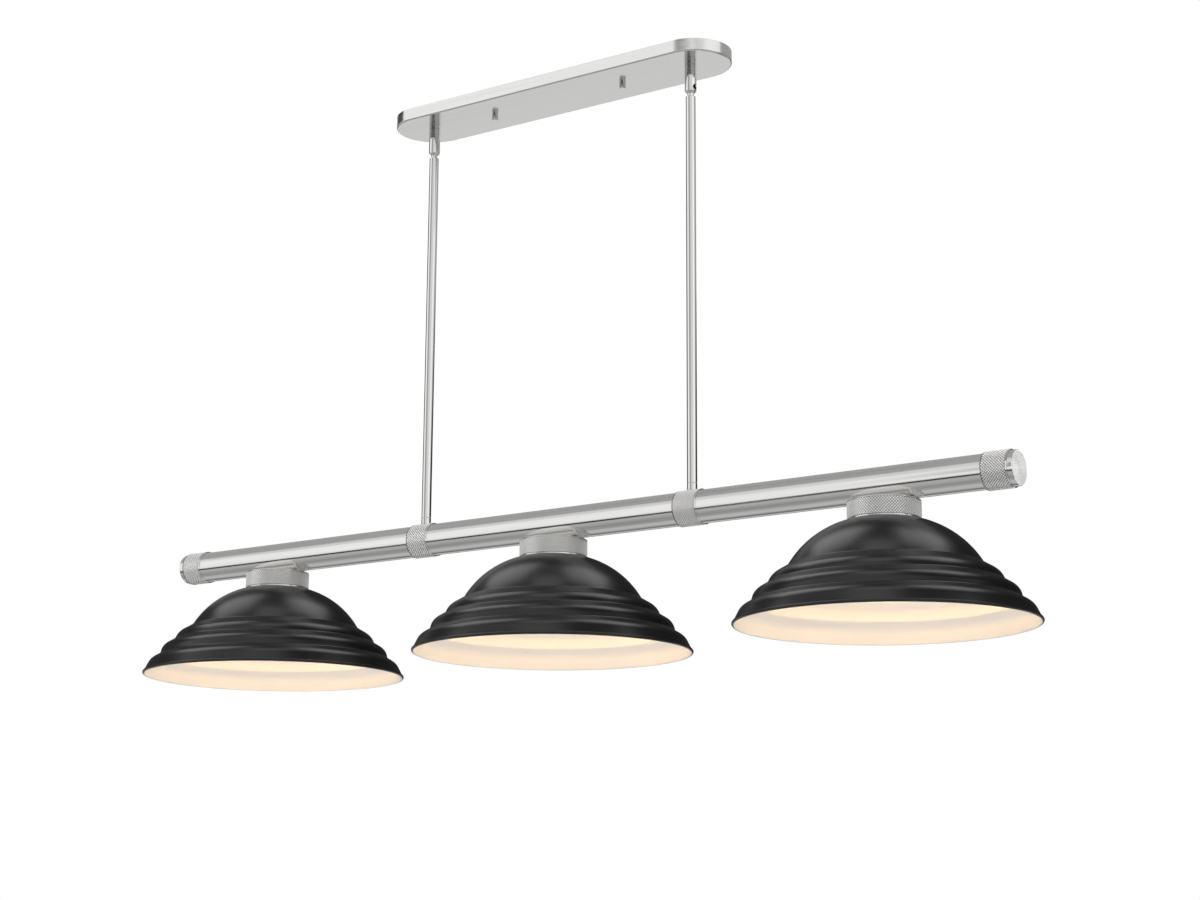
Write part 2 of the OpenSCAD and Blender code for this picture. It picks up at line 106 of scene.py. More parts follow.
# Bar, and the caps that plug its ends: a head outside, a skirt inside the tube
BAR_WALL = 1.5 * MM
CAP_EDGE = 1.2 * MM
CAP_SKIRT = 10 * MM
CAP_FLOOR = 2 * MM
SKIRT_INSET = 1.6 * MM
SKIRT_BORE_INSET = 3 * MM
FACE_METAL, SKIRT_METAL, HEAD_METAL = 0, 1, 2

# Rods and swivels
NIPPLE_R = 5.15 * MM
ROD_EDGE = 0.5 * MM
FOOT_EDGE = 0.3 * MM
COLLAR_BORE_R = 5.3 * MM
COLLAR_EDGE = 0.4 * MM
SWIVEL_EDGE = 0.5 * MM
SWIVEL_EDGE_STEPS = 5
SEAT_SLACK = 0.3 * MM
SEAT_STEPS = 8
MOUTH_R = 5.8 * MM
SOCKET_ROOF = 5 * MM
WIRE_R = 3 * MM
SLOT_HALF = 4.3 * MM
SLOT_HEIGHT = 9.5 * MM
SLOT_START = 2 * MM     # how far below the housing the slot's cutter starts
SLOT_STEPS = 16
NECK_R = 4 * MM
BALL_BORE_R = 2.5 * MM
BALL_STEPS = 24

# Cap nuts on the canopy's studs
NUT_EDGE = 0.8 * MM
STUD_R = 2.15 * MM
STUD_DEPTH = 5 * MM


# Meshes

def arc(middle, radius, start, end, steps):
    """Points of an arc round middle, angles in radians from the first axis towards the second."""
    turns = [start + (end - start) * i / steps for i in range(steps + 1)]
    return [(middle[0] + radius * math.cos(t), middle[1] + radius * math.sin(t)) for t in turns]


def make_object(name, verts, faces, materials, body, replaced=(), smooth=30, indices=None):
    """A mesh piece that rides on a body and stands for the nodes in replaced. Edges are sharp over smooth
    degrees."""
    mesh = bpy.data.meshes.new(name)
    mesh.from_pydata([tuple(v) for v in verts], [], faces)
    for material in materials:
        mesh.materials.append(material)
    if indices:
        mesh.polygons.foreach_set("material_index", indices)
    finish_mesh(mesh, smooth)
    piece = bpy.data.objects.new(name, mesh)
    bpy.context.scene.collection.objects.link(piece)
    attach(piece, body)
    if replaced:
        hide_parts(*replaced)
    return piece


def finish_mesh(mesh, smooth):
    work = bmesh.new()
    work.from_mesh(mesh)
    bmesh.ops.recalc_face_normals(work, faces=work.faces)
    work.to_mesh(mesh)
    work.free()
    mesh.shade_smooth()
    mesh.set_sharp_from_angle(angle=math.radians(smooth))


def place(axis, centre):
    """Turns a lathe's own frame, whose axis is Z, to lie along X or Z, and moves it to centre."""
    turn = Matrix.Rotation(QUARTER, 4, "Y") if axis == "X" else Matrix.Identity(4)
    return Matrix.Translation(centre) @ turn


def lathe(name, profile, centre, materials, body, axis="Z", steps=MEDIUM, replaced=(), bands=None,
          smooth=30):
    """Turns a closed profile of (radius, height) points round an axis. A point at radius 0 becomes one
    vertex. bands gives each stretch between two points its material's number."""
    where = place(axis, centre)
    verts, rows = [], []
    for radius, height in profile:
        if radius < TINY:
            rows.append([len(verts)] * steps)
            verts.append(where @ Vector((0, 0, height)))
            continue
        rows.append(list(range(len(verts), len(verts) + steps)))
        for i in range(steps):
            t = FULL_TURN * i / steps
            verts.append(where @ Vector((radius * math.cos(t), radius * math.sin(t), height)))
    faces, indices = [], []
    count = len(profile)
    for k in range(count):
        a, b = rows[k], rows[(k + 1) % count]
        if a[0] == a[-1] and b[0] == b[-1]:
            continue
        for i in range(steps):
            j = (i + 1) % steps
            corners = [a[i], a[j], b[j], b[i]]
            face = [c for n, c in enumerate(corners) if c not in corners[:n]]
            if len(face) > 2:
                faces.append(face)
                indices.append(bands[k] if bands else 0)
    return make_object(name, verts, faces, materials, body, replaced, smooth, indices)


def tube_profile(outer, inner, low, high, edge=EDGE):
    """Closed profile of a tube with broken edges. An inner radius of 0 makes it solid."""
    profile = [(outer - edge, low), (outer, low + edge), (outer, high - edge), (outer - edge, high)]
    if inner < TINY:
        return [(0, low), *profile, (0, high)]
    return [*profile, (inner + edge, high), (inner, high - edge), (inner, low + edge), (inner + edge, low)]


def knurled(name, outer, inner, low, high, centre, body, axis="Z", replaced=(), top=None):
    """A sleeve with real diamonds between two bright turned lips. The bore is bright too. The diamonds' crowns
    are painted lighter as painted light, their grooves darker as painted shade. top, where given, is a list of
    profile points that takes the place of the upper end."""
    around = 2 * round(FULL_TURN * outer / KNURL_PITCH)
    first, last = low + LIP, high - LIP
    rows = 2 * round((last - first) / KNURL_PITCH)
    step = (last - first) / rows
    root = outer - KNURL_DEPTH
    where = place(axis, centre)
    verts, faces, indices = [], [], []

    def add(radius, column, height):
        t = FULL_TURN * column / around
        verts.append(where @ Vector((radius * math.cos(t), radius * math.sin(t), height)))
        return len(verts) - 1

    def diamond(radius, column, height, share):
        return [add(radius, column + share, height), add(radius, column, height + share * step),
                add(radius, column - share, height), add(radius, column, height - share * step)]

    grid = {}
    for row in range(rows + 1):
        for column in range(around):
            if row in (0, rows) or (row + column) % 2 == 0:
                grid[row, column] = add(root, column, first + row * step)

    def at(row, column):
        return grid[row, column % around]

    for row in range(rows + 1):
        for column in range(around):
            if (row + column) % 2 == 0:
                continue
            if row == 0:
                faces.append([at(0, column - 1), at(0, column), at(0, column + 1), at(1, column)])
                indices.append(SHADED_GROOVE)
                continue
            if row == rows:
                faces.append([at(rows, column + 1), at(rows, column), at(rows, column - 1),
                              at(rows - 1, column)])
                indices.append(SHADED_GROOVE)
                continue
            height = first + row * step
            # Crown and upper flanks take the nickel painted lighter as painted light; lower flanks and floor
            # the painted shade
            crown = diamond(outer, column, height, KNURL_FLAT)
            foot = diamond(root, column, height, KNURL_FOOT)
            cell = [at(row, column + 1), at(row + 1, column), at(row, column - 1), at(row - 1, column)]
            faces.append(crown)
            indices.append(LIT_CROWN)
            for i in range(4):
                j = (i + 1) % 4
                faces += [[foot[i], foot[j], crown[j], crown[i]], [cell[i], cell[j], foot[j], foot[i]]]
                indices += [LIT_CROWN, SHADED_GROOVE]

    upper = top or [(outer, last), (outer, high - LIP_CHAMFER), (outer - LIP_CHAMFER, high)]
    edge = EDGE if top else LIP_CHAMFER
    lower = [(outer - edge, low), (outer, low + edge), (outer, first)]
    profile = upper + ([(inner, high)] if not top else []) + [(inner, low)] + lower
    loops = [[at(rows, i) for i in range(around)]]
    for radius, height in profile:
        if radius > TINY:
            loops.append([add(radius, i, height) for i in range(around)])
        else:
            loops.append([add(0, 0, height)] * around)
    loops.append([at(0, i) for i in range(around)])
    for a, b in zip(loops, loops[1:]):
        for i in range(around):
            j = (i + 1) % around
            corners = [a[i], a[j], b[j], b[i]]
            face = [c for n, c in enumerate(corners) if c not in corners[:n]]
            if len(face) > 2:
                faces.append(face)
                indices.append(BRIGHT)
    return make_object(name, verts, faces, KNURL_MATERIALS, body, replaced, KNURL_SMOOTH, indices)


def cut(piece, cutter):
    """Cuts cutter out of piece and deletes cutter."""
    modifier = piece.modifiers.new("cut", "BOOLEAN")
    modifier.operation = "DIFFERENCE"
    modifier.solver = "EXACT"
    modifier.object = cutter
    bpy.context.view_layer.update()
    graph = bpy.context.evaluated_depsgraph_get()
    result = bpy.data.meshes.new_from_object(piece.evaluated_get(graph))
    piece.modifiers.clear()
    piece.data = result
    bpy.data.objects.remove(cutter)


def cutting_tool(verts, faces):
    mesh = bpy.data.meshes.new("cutter")
    mesh.from_pydata(verts, [], faces)
    work = bmesh.new()
    work.from_mesh(mesh)
    bmesh.ops.recalc_face_normals(work, faces=work.faces)
    work.to_mesh(mesh)
    work.free()
    tool = bpy.data.objects.new("cutter", mesh)
    bpy.context.scene.collection.objects.link(tool)
    return tool


def prism_faces(count):
    """Faces of a prism: two ends of count corners each, one after the other, and the sides between them."""
    sides = [[i, (i + 1) % count, count + (i + 1) % count, count + i] for i in range(count)]
    return [list(range(count)), list(range(count, 2 * count)), *sides]


def prism(outline, low, high, axis, centre):
    """A cutting tool: outline, in the lathe's own frame, drawn from low to high along its axis."""
    where = place(axis, centre)
    verts = [where @ Vector((x, y, h)) for h in (low, high) for x, y in outline]
    return cutting_tool(verts, prism_faces(len(outline)))


# Materials

def new_material(name):
    material = bpy.data.materials.new(name)
    material.use_nodes = True
    nodes = material.node_tree.nodes
    return material, nodes, material.node_tree.links, nodes["Principled BSDF"]


def add_noise(nodes, links, stretch, scale, detail=4):
    """Noise in the piece's own coordinates, stretched by three factors."""
    where = nodes.new("ShaderNodeTexCoord")
    mapping = nodes.new("ShaderNodeMapping")
    mapping.inputs["Scale"].default_value = stretch
    noise = nodes.new("ShaderNodeTexNoise")
    noise.inputs["Scale"].default_value = scale
    noise.inputs["Detail"].default_value = detail
    links.new(where.outputs["Object"], mapping.inputs["Vector"])
    links.new(mapping.outputs["Vector"], noise.inputs["Vector"])
    return noise


def add_range(nodes, links, source, low, high, span=(0.3, 0.7)):
    """Turns a value into one between low and high."""
    turn = nodes.new("ShaderNodeMapRange")
    turn.inputs["From Min"].default_value = span[0]
    turn.inputs["From Max"].default_value = span[1]
    turn.inputs["To Min"].default_value = low
    turn.inputs["To Max"].default_value = high
    links.new(source, turn.inputs["Value"])
    return turn.outputs["Result"]


def add_bump(nodes, links, source, shader, strength, distance):
    bump = nodes.new("ShaderNodeBump")
    bump.inputs["Strength"].default_value = strength
    bump.inputs["Distance"].default_value = distance
    links.new(source, bump.inputs["Height"])
    links.new(bump.outputs["Normal"], shader.inputs["Normal"])


def add_tint(nodes, links, source, shader, dark, light):
    ramp = nodes.new("ShaderNodeValToRGB")
    ramp.color_ramp.elements[0].color = (*dark, 1)
    ramp.color_ramp.elements[1].color = (*light, 1)
    links.new(source, ramp.inputs["Fac"])
    links.new(ramp.outputs["Color"], shader.inputs["Base Color"])


def brushed(name, stretch, dark, light, rough, bump=0.012):
    """Brushed metal. Its scratches run along the axis with the smallest stretch and are bump mm high."""
    material, nodes, links, shader = new_material(name)
    shader.inputs["Metallic"].default_value = 1
    grain = add_noise(nodes, links, stretch, 1.0, 5)
    add_tint(nodes, links, add_range(nodes, links, grain.outputs["Fac"], 0, 1), shader, dark, light)
    links.new(add_range(nodes, links, grain.outputs["Fac"], rough[0], rough[1]), shader.inputs["Roughness"])
    add_bump(nodes, links, grain.outputs["Fac"], shader, 1.0, bump * MM)
    return material


def turned(name, middle, dark, light, rough):
    """Metal turned on a lathe: fine rings round an axis along X through middle."""
    material, nodes, links, shader = new_material(name)
    shader.inputs["Metallic"].default_value = 0.6
    shader.inputs["Anisotropic"].default_value = 0.8
    around = nodes.new("ShaderNodeTangent")
    around.direction_type = "RADIAL"
    around.axis = "X"
    links.new(around.outputs["Tangent"], shader.inputs["Tangent"])
    where = nodes.new("ShaderNodeTexCoord")
    offset = nodes.new("ShaderNodeVectorMath")
    offset.operation = "MULTIPLY_ADD"
    offset.inputs[1].default_value = (0, 1, 1)
    offset.inputs[2].default_value = (0, 0, -middle)
    length = nodes.new("ShaderNodeVectorMath")
    length.operation = "LENGTH"
    noise = nodes.new("ShaderNodeTexNoise")
    noise.noise_dimensions = "1D"
    noise.inputs["Scale"].default_value = 2600
    noise.inputs["Detail"].default_value = 3
    links.new(where.outputs["Object"], offset.inputs[0])
    links.new(offset.outputs["Vector"], length.inputs[0])
    links.new(length.outputs["Value"], noise.inputs["W"])
    add_tint(nodes, links, add_range(nodes, links, noise.outputs["Fac"], 0, 1), shader, dark, light)
    links.new(add_range(nodes, links, noise.outputs["Fac"], rough[0], rough[1]), shader.inputs["Roughness"])
    add_bump(nodes, links, noise.outputs["Fac"], shader, 0.25, 0.03 * MM)
    return material


def plain(name, dark, light, rough, metallic=0.0, scale=900, bump=0.04, coat=0.0):
    """A surface with a slight mottle in its colour, its gloss and its height."""
    material, nodes, links, shader = new_material(name)
    shader.inputs["Metallic"].default_value = metallic
    shader.inputs["Coat Weight"].default_value = coat
    grain = add_noise(nodes, links, (1, 1, 1), scale, 3)
    add_tint(nodes, links, add_range(nodes, links, grain.outputs["Fac"], 0, 1), shader, dark, light)
    links.new(add_range(nodes, links, grain.outputs["Fac"], rough[0], rough[1]), shader.inputs["Roughness"])
    add_bump(nodes, links, grain.outputs["Fac"], shader, bump, 0.05 * MM)
    return material


def lamp_glass(name, colour, strength, neck, globe):
    """Frosted glass that glows, from nothing at height neck to its full strength at height globe."""
    material, nodes, links, shader = new_material(name)
    shader.inputs["Roughness"].default_value = 0.45
    shader.inputs["Emission Color"].default_value = (*colour, 1)
    where = nodes.new("ShaderNodeTexCoord")
    split = nodes.new("ShaderNodeSeparateXYZ")
    links.new(where.outputs["Object"], split.inputs["Vector"])
    glow = add_range(nodes, links, split.outputs["Z"], 0, strength, (neck, globe))
    links.new(glow, shader.inputs["Emission Strength"])
    frost = add_noise(nodes, links, (1, 1, 1), 1500, 2)
    add_tint(nodes, links, add_range(nodes, links, frost.outputs["Fac"], 0, 1), shader,
             (0.86, 0.84, 0.78), (0.93, 0.91, 0.86))
    add_bump(nodes, links, frost.outputs["Fac"], shader, 0.1, 0.03 * MM)
    return material


NICKEL_DARK = (0.72, 0.715, 0.70)
NICKEL_LIGHT = (0.80, 0.795, 0.78)
ALONG_X = (5, 330, 330)
ALONG_Z = (330, 330, 5)

bar_low, bar_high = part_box("bar_tube")
bar_z = (bar_low.z + bar_high.z) / 2
bar_r = (bar_high.z - bar_low.z) / 2

nickel_x = brushed("nickel_brushed_along_bar", ALONG_X, NICKEL_DARK, NICKEL_LIGHT, (0.10, 0.17), 0.014)
nickel_z = brushed("nickel_brushed_upright", ALONG_Z, NICKEL_DARK, NICKEL_LIGHT, (0.07, 0.12), 0.004)
nickel_face = brushed("nickel_canopy", ALONG_X, NICKEL_DARK, NICKEL_LIGHT, (0.12, 0.20), 0.008)
nickel_turned = turned("nickel_turned_face", bar_z, NICKEL_DARK, NICKEL_LIGHT, (0.34, 0.46))
# Knurl crowns: the nickel is painted near white and half diffuse as painted light, so the diamonds read lit
knurl_crown_painted_light = plain("knurl_crown_painted_light", (0.92, 0.915, 0.90), (0.97, 0.965, 0.95), (0.30, 0.38), metallic=0.5,
                     scale=1400)
# Knurl grooves: the same nickel painted dark, as painted shade in the recesses
knurl_groove_painted_shade = plain("knurl_groove_painted_shade", (0.20, 0.197, 0.19), (0.28, 0.276, 0.267), (0.26, 0.36), metallic=0.7,
                      scale=1400)
nickel_bright = plain("nickel_polished", (0.76, 0.755, 0.74), (0.84, 0.835, 0.82), (0.07, 0.12), metallic=1,
                      bump=0.01)
KNURL_MATERIALS = (knurl_crown_painted_light, nickel_bright, knurl_groove_painted_shade)
zinc = plain("zinc_plate", (0.56, 0.57, 0.60), (0.68, 0.69, 0.72), (0.28, 0.42), metallic=1, scale=500)
brass = plain("brass_bare", (0.68, 0.50, 0.20), (0.80, 0.62, 0.28), (0.25, 0.38), metallic=1)
porcelain = plain("porcelain_glaze", (0.84, 0.83, 0.79), (0.90, 0.89, 0.86), (0.15, 0.25), coat=0.5)
black_paint = plain("black_satin_paint", (0.005, 0.005, 0.0053), (0.007, 0.007, 0.0074), (0.28, 0.32),
                    scale=2200)
white_paint = plain("white_satin_paint", (0.87, 0.83, 0.81), (0.91, 0.87, 0.85), (0.50, 0.60), scale=2200)
green_paint = plain("green_dyed_zinc", (0.03, 0.22, 0.06), (0.06, 0.32, 0.10), (0.3, 0.4), metallic=0.6)
orange_plastic = plain("orange_plastic", (0.70, 0.22, 0.03), (0.80, 0.28, 0.05), (0.4, 0.5))
GLOW_COLOUR = (1.0, 0.685, 0.28)
GLOW_STRENGTH = 25.5
GLOW_STARTS = 10 * MM      # below the glass's top
GLOW_FULL = 40 * MM
glass_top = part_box("bulb_glass_middle")[1].z
bulb_glow = lamp_glass("frosted_bulb", GLOW_COLOUR, GLOW_STRENGTH, glass_top - GLOW_STARTS,
                       glass_top - GLOW_FULL)


# Pieces

def centre_of(node):
    low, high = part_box(node)
    return (low + high) / 2


def crossing(first, reach, second, other):
    """The point whose dot product with first is reach and with second is other."""
    size = first.x * second.y - first.y * second.x
    return Vector(((reach * second.y - first.y * other) / size, (first.x * other - reach * second.x) / size))


def shade_arcs():
    """The shade's outer face as a chain of arcs from the rim up, in radius and height over the rim. Each is
    (middle, radius, first angle, last angle). Straight walls and roofs join them. A hollow arc's radius is
    negative."""
    low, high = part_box("shade_middle")
    foot_r = max(high.x - low.x, high.y - low.y) / 2
    foot_z = BEAD_R
    floor = 0.0
    roof = QUARTER - ROOF_RISE
    up = Vector((math.cos(roof), math.sin(roof)))
    arcs = []
    for step, height, lean, shoulder in SHADE_BANDS:
        foot_r -= step
        if arcs:
            out = Vector((math.cos(lean), math.sin(lean)))
            crease = crossing(up, reach, out, out.dot(Vector((foot_r, floor))) + CREASE)
            arcs.append((crease, -CREASE, roof, lean))
        arc_z = floor + height - shoulder
        wall_height = arc_z + shoulder * math.sin(lean) - foot_z
        arc_r = foot_r - math.tan(lean) * wall_height - shoulder * math.cos(lean)
        middle = Vector((arc_r, arc_z))
        arcs.append((middle, shoulder, lean, roof))
        reach = middle.dot(up) + shoulder + CREASE
        floor += height
        foot_z = floor
    foot_r -= DOME_STEP
    middle_r = foot_r - DOME_ROUND * math.cos(DOME_LEAN)
    middle = Vector((middle_r, floor - DOME_ROUND * math.sin(DOME_LEAN)))
    start = roof - math.acos((reach - middle.dot(up)) / (DOME_ROUND + CREASE))
    crease = middle + (DOME_ROUND + CREASE) * Vector((math.cos(start), math.sin(start)))
    arcs.append((crease, -CREASE, roof, start))
    drum_low, drum_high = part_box("drum_middle")
    drum_r = (drum_high.x - drum_low.x) / 2
    arcs.append((middle, DOME_ROUND, start, math.acos((drum_r - middle.x) / DOME_ROUND)))
    return arcs


def shade_section(inside):
    """The shade's outer or inner face as (radius, height over the rim), from its foot to the flat top. inside
    is how far it lies in from the outer face."""
    arcs = shade_arcs()
    middle, radius, lean, _ = arcs[0]
    foot = middle + radius * Vector((math.cos(lean), math.sin(lean)))
    drop = foot.y - BEAD_R
    points = [(foot.x + math.tan(lean) * drop - inside / math.cos(lean), BEAD_R)]
    for middle, radius, first, last in arcs[:-1]:
        points += arc(middle, radius - inside, first, last, ARC_STEPS)
    middle, radius, first, last = arcs[-1]
    last = math.asin((radius * math.sin(last) - inside) / (radius - inside))
    return points + arc(middle, radius - inside, first, last, DOME_STEPS)


def make_shade(place_name):
    low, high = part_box(f"shade_{place_name}")
    holder_low, holder_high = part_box(f"lamp_holder_{place_name}")
    hole = (holder_high.x - holder_low.x) / 2 + HOLDER_SLACK
    rim_r = max(high.x - low.x, high.y - low.y) / 2
    outer = shade_section(0.0)
    inner = shade_section(SHADE_WALL)
    bead_middle = (rim_r - BEAD_R, BEAD_R)
    bead = arc(bead_middle, BEAD_R, math.pi, 2.5 * math.pi, BEAD_STEPS)
    top = outer[-1][1]
    profile = [*bead, *outer[1:], (hole, top), (hole, top - SHADE_WALL), *reversed(inner)]
    black_until = len(bead) + len(outer) - 1
    bands = [BLACK if BEAD_WHITE_STEPS <= k <= black_until else WHITE for k in range(len(profile))]
    centre = ((low.x + high.x) / 2, 0, low.z)
    skin = lathe(f"shade_skin_{place_name}", profile, centre, [black_paint, white_paint], FRAME_BODY,
                 steps=FINE, replaced=[f"shade_{place_name}"], bands=bands, smooth=SHADE_SMOOTH)
    # The photo's bar does not mirror the shades
    skin.visible_glossy = False


def make_drum(place_name):
    low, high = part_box(f"drum_{place_name}")
    radius = (high.x - low.x) / 2
    centre = ((low.x + high.x) / 2, 0, 0)
    bore = radius - DRUM_WALL
    roof = high.z - DRUM_ROOF
    corner = arc((radius - DRUM_ROUND, high.z - DRUM_ROUND), DRUM_ROUND, 0, QUARTER, EDGE_STEPS)
    top = [(radius, high.z - LIP - DRUM_ROUND * 0.3), *corner, (0, high.z), (0, roof), (bore, roof)]
    piece = knurled(f"knurled_drum_{place_name}", radius, bore, low.z, high.z, centre, FRAME_BODY,
                    replaced=[f"drum_{place_name}"], top=top)
    outline = arc((0, 0), bar_r + SLIP, 0, FULL_TURN, FINE)[:-1]
    cut(piece, prism(outline, -2 * radius, 2 * radius, "X", (centre[0], 0, bar_z)))


def make_ring(node):
    low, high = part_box(node)
    outer = (high.z - low.z) / 2
    knurled(f"knurled_{node}", outer, bar_r + SLIP, low.x, high.x, (0, 0, bar_z), FRAME_BODY, axis="X",
            replaced=[node])


def make_bar():
    profile = tube_profile(bar_r, bar_r - BAR_WALL, bar_low.x, bar_high.x)
    lathe("bar_skin", profile, (0, 0, bar_z), [nickel_x], FRAME_BODY, axis="X", steps=FINE,
          replaced=["bar_tube"])
    for side in SIDES:
        low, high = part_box(f"end_cap_{side}")
        face = high.x - low.x
        floor = CAP_SKIRT - CAP_FLOOR
        inner, outer = bar_r - SKIRT_BORE_INSET, bar_r - SKIRT_INSET
        skirt = [(0, face), (0, floor), (inner, floor), (inner, 0), (outer, 0), (outer, CAP_SKIRT),
                 (bar_r - EDGE, CAP_SKIRT), (bar_r, CAP_SKIRT + EDGE)]
        head = arc((bar_r - CAP_EDGE, face - CAP_EDGE), CAP_EDGE, 0, QUARTER, EDGE_STEPS)
        profile = [*skirt, *head]
        bands = [SKIRT_METAL] * len(skirt) + [HEAD_METAL] * (len(head) - 1) + [FACE_METAL]
        sign = 1 if side == "right" else -1
        if sign < 0:
            profile = [(r, -h) for r, h in profile]
        start = low.x if sign > 0 else high.x
        lathe(f"end_plug_{side}", profile, (start, 0, bar_z), [nickel_turned, nickel_x, nickel_bright],
              FRAME_BODY, axis="X", steps=FINE, replaced=[f"end_cap_{side}"], bands=bands)


def make_rods():
    for side in SIDES:
        low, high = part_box(f"rod_{side}")
        centre = (centre_of(f"rod_{side}").x, 0, 0)
        outer = (high.x - low.x) / 2
        profile = tube_profile(outer, NIPPLE_R, low.z, high.z, ROD_EDGE)
        lathe(f"rod_tube_{side}", profile, centre, [nickel_z], FRAME_BODY, replaced=[f"rod_{side}"])
        foot_low, foot_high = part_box(f"rod_foot_{side}")
        profile = tube_profile(outer, NIPPLE_R, foot_low.z, foot_high.z, FOOT_EDGE)
        lathe(f"rod_end_{side}", profile, centre, [nickel_z], FRAME_BODY, replaced=[f"rod_foot_{side}"])


def make_swivels():
    for side in SIDES:
        sign = 1 if side == "right" else -1
        centre = (centre_of(f"swivel_collar_{side}").x, 0, 0)
        low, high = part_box(f"swivel_collar_{side}")
        outer = (high.x - low.x) / 2
        profile = tube_profile(outer, COLLAR_BORE_R, low.z, high.z, COLLAR_EDGE)
        lathe(f"collar_{side}", profile, centre, [nickel_z], ROOT_BODY, replaced=[f"swivel_collar_{side}"])
        make_housing(side, sign, centre, outer, low.z)
        make_ball(side, centre)


def make_housing(side, sign, centre, outer, top):
    """Socket with a round seat for the ball, an open mouth and a slot in its outer side."""
    low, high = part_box(f"swivel_housing_{side}")
    ball_low, ball_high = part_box(f"swivel_ball_{side}")
    ball_r = (ball_high.x - ball_low.x) / 2
    ball_z = ball_high.z - ball_r
    seat_r = ball_r + SEAT_SLACK
    roof = top - SOCKET_ROOF
    edge = SWIVEL_EDGE
    start = -math.asin((ball_z - low.z - edge) / seat_r)
    mouth_z = ball_z + seat_r * math.sin(start)
    seat = arc((0, ball_z), seat_r, start, 0, SEAT_STEPS)
    foot = arc((outer - edge, low.z + edge), edge, 0, -QUARTER, SWIVEL_EDGE_STEPS)
    profile = [
        (WIRE_R, high.z), (NIPPLE_R - edge, high.z), (NIPPLE_R, high.z - edge), (NIPPLE_R, top),
        (outer - edge, top), (outer, top - edge), *foot, (MOUTH_R, low.z), (MOUTH_R, mouth_z), *seat[1:],
        (seat_r, roof), (WIRE_R, roof),
    ]
    piece = lathe(f"housing_{side}", profile, centre, [nickel_z], ROOT_BODY,
                  replaced=[f"swivel_housing_{side}"])
    start_z = low.z - SLOT_START
    arch = arc((0, low.z + SLOT_HEIGHT - SLOT_HALF), SLOT_HALF, 0, math.pi, SLOT_STEPS)
    outline = [(-SLOT_HALF, start_z), (SLOT_HALF, start_z), *arch]
    near, far = centre[0], centre[0] + sign * 2 * outer
    verts = [Vector((x, y, z)) for x in (near, far) for y, z in outline]
    cut(piece, cutting_tool(verts, prism_faces(len(outline))))


def make_ball(side, centre):
    low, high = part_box(f"swivel_ball_{side}")
    radius = (high.x - low.x) / 2
    middle = high.z - radius
    edge = SWIVEL_EDGE
    rod_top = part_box(f"rod_{side}")[1].z
    join = -math.acos(NECK_R / radius)
    opening = math.acos(BALL_BORE_R / radius)
    profile = [
        (BALL_BORE_R, low.z), (NIPPLE_R - edge, low.z), (NIPPLE_R, low.z + edge), (NIPPLE_R, rod_top),
        (NECK_R, rod_top), *arc((0, middle), radius, join, opening, BALL_STEPS),
    ]
    lathe(f"ball_{side}", profile, centre, [nickel_bright], FRAME_BODY, replaced=[f"swivel_ball_{side}"])


def make_canopy_nuts():
    for side in SIDES:
        low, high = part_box(f"canopy_nut_{side}")
        radius = (high.x - low.x) / 2
        centre = ((low.x + high.x) / 2, 0, 0)
        corner = arc((radius - NUT_EDGE, low.z + NUT_EDGE), NUT_EDGE, 0, -QUARTER, EDGE_STEPS)
        end = high.z - STUD_DEPTH
        profile = [(0, low.z), *reversed(corner), (radius, high.z), (STUD_R, high.z), (STUD_R, end), (0, end)]
        lathe(f"cap_nut_{side}", profile, centre, [nickel_bright], f"{side}_canopy_nut", steps=COARSE,
              replaced=[f"canopy_nut_{side}"])


def assign(material, *nodes):
    """Gives CAD nodes their material."""
    for node in nodes:
        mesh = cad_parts[node].data
        mesh.materials.clear()
        mesh.materials.append(material)


def dress_nodes():
    assign(nickel_face, "canopy")
    assign(zinc, "mounting_strap", "canopy_studs", "stud_locknuts", "swivel_locknuts", "rod_nipples",
           "bar_nuts", "lamp_nipples")
    assign(green_paint, "ground_screw")
    assign(orange_plastic, "wire_connectors")
    assign(brass, "screw_shells", "lamp_contacts")
    for place_name in PLACES:
        assign(zinc, f"shade_nut_{place_name}", f"bulb_cap_{place_name}")
        assign(porcelain, f"lamp_holder_{place_name}")
        assign(bulb_glow, f"bulb_glass_{place_name}")
        # With the shades out of the mirrors, what they hold is kept out of them too
        for node in ("shade_nut", "bulb_cap", "lamp_holder", "bulb_glass"):
            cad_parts[f"{node}_{place_name}"].visible_glossy = False


# Camera, lights and floor

CAMERA_PLACE = (1.64744, -2.30485, -1.12824)
CAMERA_YAW = math.radians(34.37)
CAMERA_PITCH = math.radians(12.59)
CAMERA_ROLL = math.radians(0.30)
SENSOR = 36.0
LENS = 67.68
CLIP_END = 50


def make_camera():
    data = bpy.data.cameras.new("camera")
    data.sensor_width = SENSOR
    data.lens = LENS
    data.clip_end = CLIP_END
    camera = bpy.data.objects.new("camera", data)
    turn = Matrix.Rotation(CAMERA_YAW, 4, "Z") @ Matrix.Rotation(QUARTER + CAMERA_PITCH, 4, "X")
    turn = turn @ Matrix.Rotation(CAMERA_ROLL, 4, "Z")
    camera.matrix_world = Matrix.Translation(CAMERA_PLACE) @ turn
    bpy.context.scene.collection.objects.link(camera)
    bpy.context.scene.camera = camera


def make_lamp(name, place_at, target, size, power):
    """A soft box that lights everything but shows in no mirror."""
    data = bpy.data.lights.new(name, "AREA")
    data.shape = "RECTANGLE"
    data.size, data.size_y = size
    data.energy = power
    lamp = bpy.data.objects.new(name, data)
    lamp.location = place_at
    lamp.rotation_mode = "QUATERNION"
    lamp.rotation_quaternion = (Vector(target) - Vector(place_at)).to_track_quat("-Z", "Y")
    lamp.visible_glossy = False
    bpy.context.scene.collection.objects.link(lamp)
    return lamp


